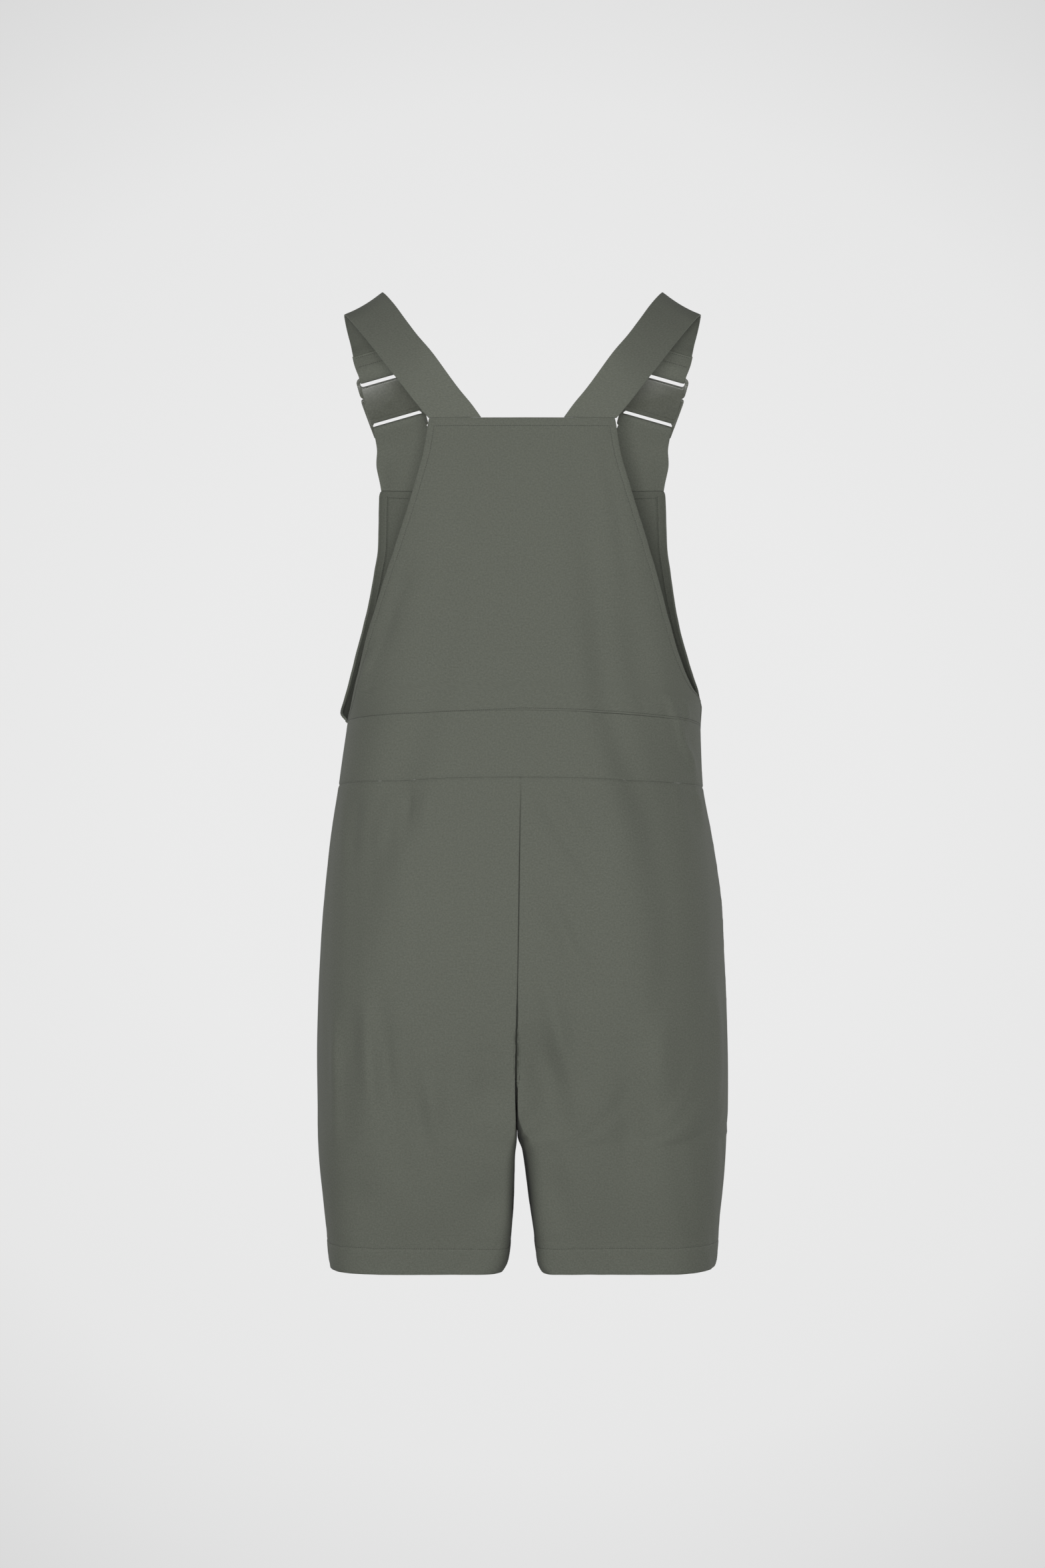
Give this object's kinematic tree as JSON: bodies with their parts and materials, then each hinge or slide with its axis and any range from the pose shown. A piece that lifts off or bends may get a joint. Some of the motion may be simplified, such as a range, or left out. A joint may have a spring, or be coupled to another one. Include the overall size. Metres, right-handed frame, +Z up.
{
  "type": "bib overalls",
  "caption": "Short bib overalls in plain work cloth, filled out as worn: front and back bib, shoulder straps with slotted buckles, waistband and wide short legs.",
  "frame": {"origin": "the place that holds it up: midway between the two strap crests, on the shoulders", "axes": "+X to the wearer's right, +Y to the wearer's front, +Z up; the back, which the picture shows, faces -Y"},
  "size_m": [0.3863, 0.242, 0.9157],
  "materials": {
    "cloth": "matte fine twill, grey green",
    "buckle": "satin, lightly grained, in the cloth's colour"
  },
  "bodies": {
    "root": {"back_bib": "cloth", "front_bib": "cloth", "back_waistband": "cloth", "front_waistband": "cloth", "back_leg_left": "cloth", "back_leg_right": "cloth", "front_leg_left": "cloth", "front_leg_right": "cloth", "strap_left": "cloth", "strap_right": "cloth", "front_tab_left": "cloth", "front_tab_right": "cloth", "buckle_frame_left": "buckle", "buckle_frame_right": "buckle", "buckle_housing_left": "buckle", "buckle_housing_right": "buckle"}
  },
  "joints": []
}
